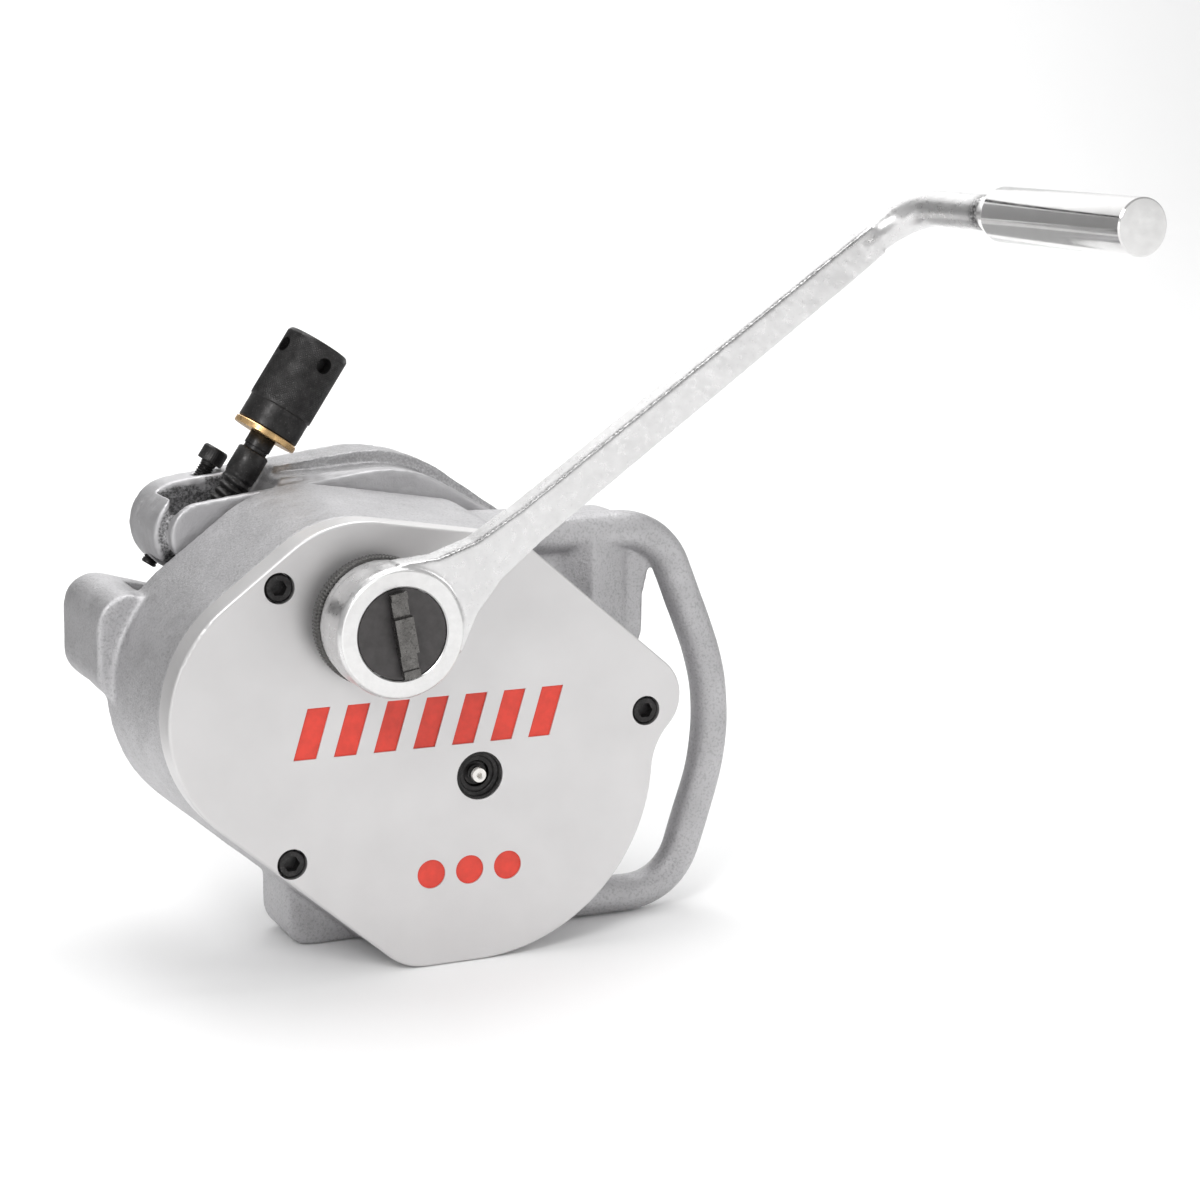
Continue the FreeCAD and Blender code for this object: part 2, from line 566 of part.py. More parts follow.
# ---------------------------------------------------------------- arm and groove roll
def arm_outline(nose_step, hump_step):
    nose, hump = (*NOSE[:2], NOSE[2] - nose_step), (*HUMP[:2], HUMP[2] - hump_step)
    return [nose, hump, (PIVOT[0], PIVOT[1], 16.0), (-30.0, 44.0, 8.0)]


def arm():
    front = belt_prism(arm_outline(FRONT_NOSE_STEP, FRONT_HUMP_STEP), ARM_FRONT, 44.5)
    middle = belt_prism(arm_outline(0.0, FRONT_HUMP_STEP), 44.5, 58.0)
    rear = belt_prism(arm_outline(0.0, 0.0), 58.0, ARM_REAR)
    body = fused([front, middle, rear])
    pocket = rod(34.0, ROLL_SPACE[0], ROLL_SPACE[1], ROLL_AXIS).fuse(
        block(-30.0, 30.0, ROLL_SPACE[0], ROLL_SPACE[1], 20.0, 54.0))
    nose_pocket = block(-91.0, -62.0, 44.0, 65.0, 50.0, 120.0)
    screw_way = prism([feed_point(-40.0, 11.0), feed_point(-40.0, -11.0), feed_point(80.0, -11.0),
                       feed_point(80.0, 11.0)], 44.0, 65.0)
    cuts = [pocket, nose_pocket, screw_way, rod(11.0 + SLIP, ARM_FRONT - 1, ARM_REAR + 1, PIVOT),
            rod(ROLL_SHAFT_RADIUS + SLIP, ARM_FRONT - 1, ARM_REAR + 1, ROLL_AXIS),
            rod(4.0 + SLIP, ARM_FRONT - 1, ARM_REAR + 1, feed_point(NUT_DROP)),
            feed_rod(3.0 + 2 * SLIP, -60.0, 60.0, STOP_OFFSET, STOP_Y)]
    set_hole = Part.makeCylinder(3.0 + SLIP, 80.0, point(0, 75.5, ROLL_AXIS[1]), Vector(0, 0, 1))
    for cut in cuts + [set_hole]:
        body = body.cut(cut)
    return body


def groove_roll():
    roll = turned([(21.5, 48.6, 58.0), (25.0, 58.0, 64.0), (21.5, 64.0, 70.0)], ROLL_AXIS)
    return roll.cut(rod(13.0 + SLIP, 47.0, 72.0, ROLL_AXIS))


def feed_nut():
    nut = rod(10.0, 44.3, 64.7, feed_point(NUT_DROP))
    for y0, y1 in ((43.0, 47.5), (61.0, 66.0)):
        nut = nut.cut(rod(4.0 + RUNNING, y0, y1, feed_point(NUT_DROP)))
    return nut.cut(feed_rod(SCREW_RADIUS + NUT_CLEARANCE, NUT_DROP - 20, NUT_DROP + 20))


def arm_parts():
    nut_at = feed_point(NUT_DROP)
    parts = {"arm": arm(), "groove_roll": groove_roll(), "feed_nut": feed_nut()}
    parts["arm_bush"] = ring(11.0, PIVOT_RADIUS + RUNNING, ARM_FRONT, ARM_REAR, PIVOT)
    parts["groove_roll_shaft"] = rod(ROLL_SHAFT_RADIUS, ARM_FRONT + 0.5, ARM_REAR + 1.5, ROLL_AXIS)
    parts["roll_bearing"] = ring(13.0, ROLL_SHAFT_RADIUS + RUNNING, 48.8, 69.8, ROLL_AXIS)
    top = ROLL_AXIS[1] + ROLL_SHAFT_RADIUS
    screw = Part.makeCylinder(3.0, 12.0, point(0, 75.5, top + SLIP), Vector(0, 0, 1))
    socket = hexagon(3.0, 4.0, point(0, 75.5, top + 9.0), Vector(0, 0, 1))
    parts["roll_set_screw"] = screw.cut(socket)
    parts["feed_nut_pins"] = Part.makeCompound([rod(4.0, ARM_FRONT + 0.5, 47.2, nut_at),
                                                rod(4.0, 61.2, ARM_REAR - 0.5, nut_at)])
    x, z = feed_point(-6.0, STOP_OFFSET)
    up = Vector(math.sin(FEED_TILT), 0, math.cos(FEED_TILT))
    parts["stop_screw"] = socket_screw(5.0, 6.0, 3.0, 45.0, point(x, STOP_Y, z), up)
    return parts


# ---------------------------------------------------------------- feed screw
def feed_knob():
    knob = fused([feed_rod(12.7, -65.2, -36.2), feed_rod(12.2, -36.3, -26.8)])
    knob = knob.cut(feed_rod(5.0 + SLIP, -60.0, -26.0))
    x, z = feed_point(-57.8)
    across = Vector(math.cos(FEED_TILT), 0, -math.sin(FEED_TILT))
    for k in range(4):
        angle = KNOB_HOLE_TURN + k * math.pi / 2
        direction = across * math.sin(angle) + Vector(0, -math.cos(angle), 0)
        knob = knob.cut(Part.makeCylinder(3.0, 20.0, point(x, FEED_Y, z) + direction * 7.5, direction))
    pin_x, pin_z = feed_point(-31.5)
    return knob.cut(Part.makeCylinder(1.5 + SLIP, 40.0, point(pin_x, FEED_Y - 20, pin_z), Vector(0, 1, 0)))


def feed_screw():
    steps = [(5.0, -59.5, -24.2), (5.2, -24.2, -19.2), (4.7, -19.2, -17.7), (6.2, -17.7, -7.7),
             (SCREW_RADIUS, -7.7, 61.6), (4.5, 61.6, 86.5)]
    screw = fused([feed_rod(radius, top, bottom) for radius, top, bottom in steps])
    pin_x, pin_z = feed_point(-31.5)
    return screw.cut(Part.makeCylinder(1.5 + SLIP, 40.0, point(pin_x, FEED_Y - 20, pin_z), Vector(0, 1, 0)))


def feed_anchor():
    anchor = rod(ANCHOR_RADIUS, 39.0, 76.5, feed_point(ANCHOR_DROP))
    for side in (-1, 1):
        top = ANCHOR_DROP + side * 8.2
        flat = feed_rod(14.0, min(top, top + side * 8), max(top, top + side * 8))
        anchor = anchor.cut(flat.common(block(-200, 200, 45.0, 63.0, -200, 200)))
    return anchor.cut(feed_rod(4.5 + RUNNING, ANCHOR_DROP - 20, ANCHOR_DROP + 20))


def feed_parts():
    parts = {"feed_knob": feed_knob(), "feed_screw": feed_screw(), "feed_anchor": feed_anchor()}
    parts["feed_washer"] = feed_rod(12.7, -26.7, -24.2).cut(feed_rod(5.2 + SLIP, -30.0, -20.0))
    pin_x, pin_z = feed_point(-31.5)
    parts["knob_pin"] = Part.makeCylinder(1.5, 23.6, point(pin_x, FEED_Y - 11.8, pin_z), Vector(0, 1, 0))
    nut_x, nut_z = feed_point(ANCHOR_DROP + 15.4)
    up = Vector(math.sin(FEED_TILT), 0, math.cos(FEED_TILT))
    nut = hexagon(14.0, 7.0, point(nut_x, FEED_Y, nut_z), up)
    parts["anchor_nut"] = nut.cut(feed_rod(4.5 + SLIP, 60.0, 95.0))
    return parts


# ---------------------------------------------------------------- export
def main():
    os.makedirs("parts", exist_ok=True)
    groups = [housing_parts(), drive_parts(), intermediate_parts(), input_parts(), wrench_parts(),
              arm_parts(), feed_parts()]
    for group in groups:
        for name, shape in group.items():
            shape.exportStep(os.path.join("parts", name + ".step"))
            print(name, len(shape.Solids), round(shape.Volume / 1000, 2), shape.isValid())


main()
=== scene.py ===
import json
import math

import bmesh
import bpy
import numpy as np
from mathutils import Matrix, Vector

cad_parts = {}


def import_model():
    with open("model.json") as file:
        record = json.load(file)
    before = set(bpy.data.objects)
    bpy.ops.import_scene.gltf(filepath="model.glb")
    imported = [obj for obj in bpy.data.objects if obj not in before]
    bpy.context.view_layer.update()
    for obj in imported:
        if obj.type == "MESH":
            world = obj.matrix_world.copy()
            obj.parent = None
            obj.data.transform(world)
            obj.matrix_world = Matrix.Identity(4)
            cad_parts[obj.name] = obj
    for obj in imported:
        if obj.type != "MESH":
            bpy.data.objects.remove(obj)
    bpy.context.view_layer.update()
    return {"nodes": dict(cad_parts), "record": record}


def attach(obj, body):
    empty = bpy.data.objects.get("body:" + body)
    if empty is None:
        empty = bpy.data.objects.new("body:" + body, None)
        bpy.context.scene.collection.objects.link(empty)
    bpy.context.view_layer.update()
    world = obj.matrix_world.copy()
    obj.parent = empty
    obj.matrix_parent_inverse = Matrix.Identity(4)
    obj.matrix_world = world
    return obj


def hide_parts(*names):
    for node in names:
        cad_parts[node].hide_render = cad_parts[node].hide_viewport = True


# Manual roll groover for pipe. Shapes are given in millimetres from the drive axis, as in the part's source,
# and turned into metres above the rest plane by place().

MM = 0.001
DRIVE_Z = 70.0                      # height of the drive axis above the rest plane
FEED_TILT = math.radians(33.3)
FEED_Y = 54.0
FEED_POINT = (-65.5, 95.5)          # where the feed screw crosses the rim of the arm's nose pocket
INPUT = (-42.2, 62.3)               # axis of the ratchet head
LEVER_END = (159.3, 204.6)          # axis of the grip
STOP_Y, STOP_OFFSET = 72.0, 7.0
GRIP_RADIUS = 9.55
CAMERA_AT = (-0.3601, -0.9012, 0.3206)
ARM_NOSE = (-80.5, 82.0)
KNOB_HOLE_TURN = math.radians(9)    # from facing the front
COVER_SCREWS = ((-75.2, 74.7), (-71.8, -25.1), (66.9, 18.1), (2.0, 78.5))


# ---------------------------------------------------------------- places and meshes
def place(x, y, z):
    return Vector((x, y, z + DRIVE_Z)) * MM


def in_mm(co):
    """Points in mm from the drive axis, from points in metres above the rest plane."""
    return co / MM - np.array([0, 0, DRIVE_Z])


def feed_point(down, across=0.0):
    """X and Z at a distance down the feed screw from the pocket's rim, and across it."""
    x = FEED_POINT[0] - down * math.sin(FEED_TILT) - across * math.cos(FEED_TILT)
    z = FEED_POINT[1] - down * math.cos(FEED_TILT) + across * math.sin(FEED_TILT)
    return x, z


FORWARD = Vector((0, -1, 0))
FEED_UP = Vector((math.sin(FEED_TILT), 0.0, math.cos(FEED_TILT)))


def new_object(name, mesh, angle=35.0):
    for face in mesh.polygons:
        face.use_smooth = True
    if angle:
        mesh.set_sharp_from_angle(angle=math.radians(angle))
    obj = bpy.data.objects.new(name, mesh)
    bpy.context.scene.collection.objects.link(obj)
    return obj


def along_axis(origin, axis):
    """Turns local +Z into axis, at origin."""
    turn = Vector((0, 0, 1)).rotation_difference(Vector(axis).normalized()).to_matrix().to_4x4()
    return Matrix.Translation(origin) @ turn


def wrapped(name, rows, origin, axis, segments=96, radius_at=None, caps=True, angle=35.0):
    """A surface of revolution from (radius, station) rows in mm; radius_at adds relief to it."""
    mesh = bpy.data.meshes.new(name)
    verts, faces = [], []
    for radius, station in rows:
        for k in range(segments):
            turn = 2 * math.pi * k / segments
            r = radius_at(radius, station, turn) if radius_at else radius
            verts.append((r * MM * math.cos(turn), r * MM * math.sin(turn), station * MM))
    for i in range(len(rows) - 1):
        for k in range(segments):
            n = (k + 1) % segments
            faces.append((i * segments + k, i * segments + n, (i + 1) * segments + n, (i + 1) * segments + k))
    if caps:
        faces.append(tuple(range(segments - 1, -1, -1)))
        faces.append(tuple((len(rows) - 1) * segments + k for k in range(segments)))
    mesh.from_pydata(verts, [], faces)
    mesh.transform(along_axis(origin, axis))
    mesh.update()
    return new_object(name, mesh, angle)


def turned_ring(name, rows, origin, axis, segments, radius_at=None, angle=25):
    """A surface of revolution whose profile closes on itself."""
    return wrapped(name, rows + rows[:1], origin, axis, segments, radius_at, caps=False, angle=angle)


def stations(start, end, step):
    count = max(1, round(abs(end - start) / step))
    return [start + (end - start) * k / count for k in range(count + 1)]


def thread_relief(pitch, depth, start, end, hand=1.0):
    """A rounded vee thread between two stations, fading out at both ends."""
    def relief(radius, station, turn):
        inside = min(station - start, end - station)
        if inside <= 0:
            return radius
        phase = (station / pitch - hand * turn / (2 * math.pi)) % 1.0
        groove = 1.0 - abs(2 * phase - 1)
        return radius - depth * min(1.0, inside / pitch) * max(0.0, 1.15 * groove - 0.15)
    return relief


def mesh_of(node):
    """A welded copy of a CAD node's mesh."""
    bm = bmesh.new()
    bm.from_mesh(node.data)
    bmesh.ops.remove_doubles(bm, verts=bm.verts, dist=2e-6)
    bmesh.ops.dissolve_degenerate(bm, dist=1e-6, edges=bm.edges)
    mesh = bpy.data.meshes.new(node.name + "_welded")
    bm.to_mesh(mesh)
    bm.free()
    return mesh


def rebuilt(name, mesh, voxel, rounds, softness=None, relief=None):
    """Rebuilds a closed mesh as an even skin and rounds its edges, as a casting or a forging has them."""
    draft = bpy.data.objects.new(name + "_draft", mesh)
    bpy.context.scene.collection.objects.link(draft)
    low = np.array([v.co for v in mesh.vertices]).min(0)
    high = np.array([v.co for v in mesh.vertices]).max(0)
    remesh = draft.modifiers.new("skin", "REMESH")
    remesh.mode = "VOXEL"
    remesh.voxel_size = voxel * MM
    bpy.context.view_layer.update()
    skin = bpy.data.meshes.new_from_object(draft.evaluated_get(bpy.context.evaluated_depsgraph_get()))
    bpy.data.objects.remove(draft)
    co = np.zeros(len(skin.vertices) * 3)
    skin.vertices.foreach_get("co", co)
    co = co.reshape(-1, 3)
    ends = np.zeros(len(skin.edges) * 2, dtype=np.int64)
    skin.edges.foreach_get("vertices", ends)
    a, b = ends.reshape(-1, 2).T
    count = np.bincount(a, minlength=len(co)) + np.bincount(b, minlength=len(co))
    weight = np.full(len(co), 0.5) if softness is None else 0.5 * softness(in_mm(co))
    for _ in range(rounds):
        total = np.stack([np.bincount(a, co[b, i], len(co)) + np.bincount(b, co[a, i], len(co))
                          for i in range(3)], 1)
        co += weight[:, None] * (total / count[:, None] - co)
    skin.vertices.foreach_set("co", co.ravel())
    skin.update()
    if relief is not None:
        normals = np.zeros(len(co) * 3)
        skin.vertex_normals.foreach_get("vector", normals)
        co += normals.reshape(-1, 3) * relief(in_mm(co))[:, None] * MM
    co = np.clip(co, low, high)
    skin.vertices.foreach_set("co", co.ravel())
    skin.update()
    skin.name = name
    return new_object(name, skin, angle=None)


def waves(co, size, seed):
    """Smooth, repeatable unevenness between -1 and 1 for points in mm."""
    rng = np.random.default_rng(seed)
    total = np.zeros(len(co))
    for _ in range(9):
        direction = rng.normal(size=3)
        direction *= 2 * math.pi / (size * np.linalg.norm(direction) * rng.uniform(0.7, 1.5))
        total += np.sin(co @ direction + rng.uniform(0, 2 * math.pi))
    return total / 4.5


# ---------------------------------------------------------------- materials
def material(name, colour, metallic, roughness, specks=(), bump=(), spread=0.0, size=220.0, rough_spread=0.0,
             ring_axis=None, blotches_and_painted_shade=None):
    """A procedural finish: uneven tone and roughness, optional specks, and one or two sizes of grain."""
    mat = bpy.data.materials.new(name)
    mat.use_nodes = True
    tree = mat.node_tree
    shader = tree.nodes["Principled BSDF"]
    shader.inputs["Metallic"].default_value = metallic
    shader.inputs["Roughness"].default_value = roughness
    where = tree.nodes.new("ShaderNodeTexCoord").outputs["Object"]

    def grain(scale, detail=3.0, rough=0.55):
        node = tree.nodes.new("ShaderNodeTexNoise")
        node.inputs["Scale"].default_value = scale
        node.inputs["Detail"].default_value = detail
        node.inputs["Roughness"].default_value = rough
        tree.links.new(where, node.inputs["Vector"])
        return node.outputs["Fac"]

    def remap(value, low, high, start=0.35, end=0.65):
        node = tree.nodes.new("ShaderNodeMapRange")
        node.inputs["From Min"].default_value = start
        node.inputs["From Max"].default_value = end
        node.inputs["To Min"].default_value = low
        node.inputs["To Max"].default_value = high
        tree.links.new(value, node.inputs["Value"])
        return node.outputs["Result"]

    tone = remap(grain(size), 1.0 - spread, 1.0 + spread)
    for scale, start, end, dark in specks:
        speck = remap(grain(scale, 2.0), 1.0, dark, start, end)
        product = tree.nodes.new("ShaderNodeMath")
        product.operation = "MULTIPLY"
        tree.links.new(tone, product.inputs[0])
        tree.links.new(speck, product.inputs[1])
        tone = product.outputs["Value"]
    # Darkens the tone in blotches by a stored vertex attribute: on the lever a mottled line and painted
    # shade, on the arm dark patches.
    if blotches_and_painted_shade:
        amount = tree.nodes.new("ShaderNodeAttribute")
        amount.attribute_name = blotches_and_painted_shade
        blotch = tree.nodes.new("ShaderNodeMath")
        blotch.operation = "MULTIPLY"
        tree.links.new(amount.outputs["Fac"], blotch.inputs[0])
        tree.links.new(remap(grain(1100, 4.0, 0.7), 0.25, 1.0, 0.40, 0.56), blotch.inputs[1])
        product = tree.nodes.new("ShaderNodeMath")
        product.operation = "MULTIPLY"
        tree.links.new(tone, product.inputs[0])
        tree.links.new(remap(blotch.outputs["Value"], 1.0, 0.14, 0.0, 1.0), product.inputs[1])
        tone = product.outputs["Value"]
    base = tree.nodes.new("ShaderNodeVectorMath")
    base.operation = "SCALE"
    base.inputs[0].default_value = colour
    tree.links.new(tone, base.inputs["Scale"])
    tree.links.new(base.outputs["Vector"], shader.inputs["Base Color"])
    if rough_spread:
        uneven = remap(grain(size * 2.3, 4.0), roughness - rough_spread, roughness + rough_spread)
        tree.links.new(uneven, shader.inputs["Roughness"])
    normal = None
    for scale, strength, depth in bump:
        node = tree.nodes.new("ShaderNodeBump")
        node.inputs["Strength"].default_value = strength
        node.inputs["Distance"].default_value = depth * MM
        tree.links.new(grain(scale, 4.0, 0.6), node.inputs["Height"])
        if normal:
            tree.links.new(normal, node.inputs["Normal"])
        normal = node.outputs["Normal"]
    if ring_axis:
        x, z, pitch = ring_axis
        mapping = tree.nodes.new("ShaderNodeMapping")
        mapping.inputs["Location"].default_value = (-x * MM, 0.0, -(z + DRIVE_Z) * MM)
        tree.links.new(where, mapping.inputs["Vector"])
        turned = tree.nodes.new("ShaderNodeTexWave")
        turned.wave_type = "RINGS"
        turned.rings_direction = "Y"
        turned.inputs["Scale"].default_value = 1.0 / (pitch * MM) / 3.2
        turned.inputs["Distortion"].default_value = 0.6
        tree.links.new(mapping.outputs["Vector"], turned.inputs["Vector"])
        node = tree.nodes.new("ShaderNodeBump")
        node.inputs["Strength"].default_value = 0.25
        node.inputs["Distance"].default_value = 0.05 * MM
        tree.links.new(turned.outputs["Fac"], node.inputs["Height"])
        if normal:
            tree.links.new(normal, node.inputs["Normal"])
        normal = node.outputs["Normal"]
    if normal:
        tree.links.new(normal, shader.inputs["Normal"])
    return mat


def finishes():
    made = {
        "cast_aluminium": material("cast_aluminium", (0.52, 0.515, 0.525), 0.85, 0.50, spread=0.05, size=60,
                                   rough_spread=0.06, specks=((1100, 0.50, 0.66, 0.80),),
                                   bump=((700, 0.6, 0.45), (1900, 0.6, 0.25))),
        "arm_casting": material("arm_casting", (0.52, 0.515, 0.525), 0.85, 0.48, spread=0.06, size=90,
                                rough_spread=0.08, blotches_and_painted_shade="blotches_and_painted_shade", bump=((600, 0.45, 0.35), (1700, 0.5, 0.2))),
        "machined_aluminium": material("machined_aluminium", (0.68, 0.67, 0.67), 0.80, 0.46, spread=0.02,
                                       size=30, rough_spread=0.04, bump=((2200, 0.12, 0.08),)),
        "black_oxide": material("black_oxide", (0.035, 0.034, 0.034), 0.75, 0.40, spread=0.25, size=300,
                                rough_spread=0.10, specks=((1500, 0.60, 0.72, 2.2),),
                                bump=((1800, 0.25, 0.1),)),
        "steel": material("steel", (0.52, 0.52, 0.53), 1.0, 0.30, spread=0.06, size=200, rough_spread=0.08,
                          bump=((1600, 0.15, 0.06),)),
        "hard_roll_steel": material("hard_roll_steel", (0.36, 0.36, 0.38), 1.0, 0.36, spread=0.10, size=240,
                                    rough_spread=0.08, bump=((1400, 0.25, 0.1),)),
        # The lever's chrome darkens by its vertex attribute: a mottled line and painted shade.
        "forged_chrome": material("forged_chrome", (0.74, 0.735, 0.735), 1.0, 0.31, spread=0.03, size=160,
                                  rough_spread=0.05, specks=((900, 0.62, 0.74, 0.88),), blotches_and_painted_shade="blotches_and_painted_shade",
                                  bump=((1200, 0.30, 0.08),)),
        # Near-black painted shade for the steel knurled ring, which sits in shade behind the ratchet head.
        "knurl_steel_painted_shade": material("knurl_steel_painted_shade", (0.11, 0.108, 0.105), 1.0, 0.34, spread=0.10, size=300,
                               rough_spread=0.06, bump=((1500, 0.2, 0.06),)),
        "machined_ring": material("machined_ring", (0.84, 0.835, 0.83), 1.0, 0.36, spread=0.03, size=400,
                                  rough_spread=0.04, bump=((1700, 0.2, 0.06),), ring_axis=(*INPUT, 0.35)),
        "polished_chrome": material("polished_chrome", (0.76, 0.755, 0.75), 1.0, 0.13, spread=0.03, size=120,
                                    rough_spread=0.03, bump=((700, 0.05, 0.05),)),
        "dark_disc": material("dark_disc", (0.070, 0.066, 0.066), 0.55, 0.42, spread=0.10, size=300,
                              rough_spread=0.06, bump=((1500, 0.2, 0.06),)),
        "selector_steel": material("selector_steel", (0.15, 0.145, 0.14), 1.0, 0.29, spread=0.18, size=420,
                                   rough_spread=0.08, specks=((1300, 0.56, 0.7, 0.6),),
                                   bump=((900, 0.4, 0.12),)),
        "bronze": material("bronze", (0.55, 0.36, 0.18), 1.0, 0.42, spread=0.10, size=500, rough_spread=0.08,
                           specks=((2000, 0.6, 0.75, 0.7),), bump=((1800, 0.25, 0.08),)),
        "brass": material("brass", (0.78, 0.52, 0.25), 1.0, 0.28, spread=0.08, size=260, rough_spread=0.08,
                          bump=((1300, 0.2, 0.06),)),
        "nickel": material("nickel", (0.80, 0.78, 0.75), 1.0, 0.22, spread=0.05, size=500, rough_spread=0.05,
                           bump=((1500, 0.15, 0.05),)),
        "red_paint": material("red_paint", (0.70, 0.050, 0.030), 0.0, 0.42, spread=0.08, size=260,
                              rough_spread=0.06, bump=((900, 0.25, 0.12),)),
        "seal_rubber": material("seal_rubber", (0.02, 0.02, 0.02), 0.0, 0.62, spread=0.15, size=300,
                                rough_spread=0.06, bump=((1100, 0.3, 0.1),)),
    }
    return made


def paint(obj, mat):
    obj.data.materials.clear()
    obj.data.materials.append(mat)


def ready(obj, body, slot, mat, *nodes):
    """Gives a finished piece its body and finish, and hides the CAD nodes that it stands for. The slot is not
    used.
    """
    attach(obj, body)
    paint(obj, mat)
    if nodes:
        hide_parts(*nodes)
    return obj


def joined(objects, name):
    """Several meshes as one."""
    bm = bmesh.new()
    for obj in objects:
        bm.from_mesh(obj.data)
        bpy.data.objects.remove(obj)
    mesh = bpy.data.meshes.new(name)
    bm.to_mesh(mesh)
    bm.free()
    return new_object(name, mesh)


def drilled(obj, cutters):
    """Cuts the cutters out of obj."""
    for cutter in cutters:
        cut = obj.modifiers.new("cut", "BOOLEAN")
        cut.operation = "DIFFERENCE"
        cut.solver = "EXACT"
        cut.object = cutter
    bpy.context.view_layer.update()
    mesh = bpy.data.meshes.new_from_object(obj.evaluated_get(bpy.context.evaluated_depsgraph_get()))
    name = obj.name
    for old in [obj] + cutters:
        bpy.data.objects.remove(old)
    mesh.name = name
    return new_object(name, mesh)


# ---------------------------------------------------------------- castings and forging
def case_softness(co):
    """Full rounding on the cast faces, little on the machined joint with the cover and in the bores."""
    front = np.clip((co[:, 1] + 19.5) / 5.0, 0.12, 1.0)
    handle = np.where((co[:, 0] > 72.0) & (np.abs(co[:, 1]) < 12.0), 0.7, 1.0)
    return front * handle


def case_relief(co):
    return 0.10 * waves(co, 14.0, 3) * np.clip((co[:, 1] + 17.0) / 6.0, 0.0, 1.0)


def coordinates(obj):
    """The object's vertices in mm from the drive axis."""
    co = np.zeros(len(obj.data.vertices) * 3)
    obj.data.vertices.foreach_get("co", co)
    return in_mm(co.reshape(-1, 3))


def mark_blotches_and_painted_shade(obj, amount):
    """Stores how much each vertex is darkened, from 0 to 1, for the material: on the lever a mottled line and
    painted shade, on the arm dark patches.
    """
    attribute = obj.data.attributes.new("blotches_and_painted_shade", "FLOAT", "POINT")
    attribute.data.foreach_set("value", amount.astype(np.float32))


def in_pocket(co):
    """True inside the arm's nose pocket, and not on the outer wall of the nose."""
    inner = (np.hypot(co[:, 0] - ARM_NOSE[0], co[:, 2] - ARM_NOSE[1]) < 15.4) | (co[:, 0] > -72.0)
    return inner & (co[:, 1] > 43.6) & (co[:, 1] < 65.4) & (co[:, 0] < -58.0)


def arm_relief(co):
    """A sandy, uneven surface, roughest inside the nose pocket."""
    return 0.10 * waves(co, 12.0, 5) + np.where(in_pocket(co), 0.16, 0.05) * waves(co, 3.2, 8)


def blotched_faces(obj):
    """Darkens the arm in patches: most inside the nose pocket, and less along the top between the two rims.
    """
    co = coordinates(obj)
    top = (co[:, 1] > 46.0) & (co[:, 1] < 76.0) & (co[:, 2] > 70.0 - 0.55 * co[:, 0]) & (co[:, 0] > -52.0)
    mark_blotches_and_painted_shade(obj, np.where(in_pocket(co), 0.85, np.where(top, 0.40, 0.0)))


def castings(nodes, mats):
    voxel = 0.95
    case = rebuilt("case_casting", mesh_of(nodes["gear_case"]), voxel, 9, case_softness, case_relief)
    ready(case, "housing", "cast_aluminium", mats["cast_aluminium"], "gear_case")
    arm = rebuilt("arm_casting", mesh_of(nodes["arm"]), voxel * 0.85, 9, None, arm_relief)
    blotched_faces(arm)
    ready(arm, "arm", "cast_aluminium", mats["arm_casting"], "arm")


def lever_coordinates(co):
    """Distance along the lever from the head, across it, and its half width there, in mm."""
    dx, dz = LEVER_END[0] - INPUT[0], LEVER_END[1] - INPUT[1]
    length = math.hypot(dx, dz)
    ux, uz = dx / length, dz / length
    along = (co[:, 0] - INPUT[0]) * ux + (co[:, 2] - INPUT[1]) * uz
    across = (co[:, 2] - INPUT[1]) * ux - (co[:, 0] - INPUT[0]) * uz
    half = np.interp(along, [0, 14, 26, 40, 60, length - 20], [21, 19.5, 13.5, 9.4, 8.0, 6.4])
    return along, across, half, length


def edge_line_and_painted_shade(obj):
    """Darkens a mottled line along the border between the lever's front and its upper flank, and adds painted
    shadow in the scoop where the flank flares into the head and painted shade on the neck where it enters the
    grip.
    """
    co = coordinates(obj)
    along, across, half, length = lever_coordinates(co)
    border = np.hypot(across - (half - 0.6), (co[:, 1] + 63.6) * 0.8)
    run = np.clip((along - 20.0) / 10.0, 0, 1) * np.clip((length - 16.0 - along) / 12.0, 0, 1)
    # Painted shadow in the concave scoop where the upper flank flares into the head.
    flank = np.clip((across / half - 0.75) / 0.25, 0, 1) * np.exp(-((along - 36.0) / 13.0) ** 2)
    # Painted shade on the neck where it runs into the grip.
    neck = np.exp(-((co[:, 1] + 109.6) / 3.0) ** 2) * (np.abs(across) < 8) * (along > length - 12)
    shade = np.clip(run * np.exp(-(border / 1.1) ** 2) + 0.6 * flank + 0.9 * neck, 0, 1)
    mark_blotches_and_painted_shade(obj, shade)


def lever_softness(co):
    """Most rounding where the flat lever runs into the round neck."""
    along, _, _, length = lever_coordinates(co)
    return np.interp(along, [0.0, length - 36.0, length - 24.0], [0.35, 0.35, 1.0])


def lever_relief(co):
    return 0.05 * waves(co, 9.0, 11) + 0.02 * waves(co, 3.0, 12)


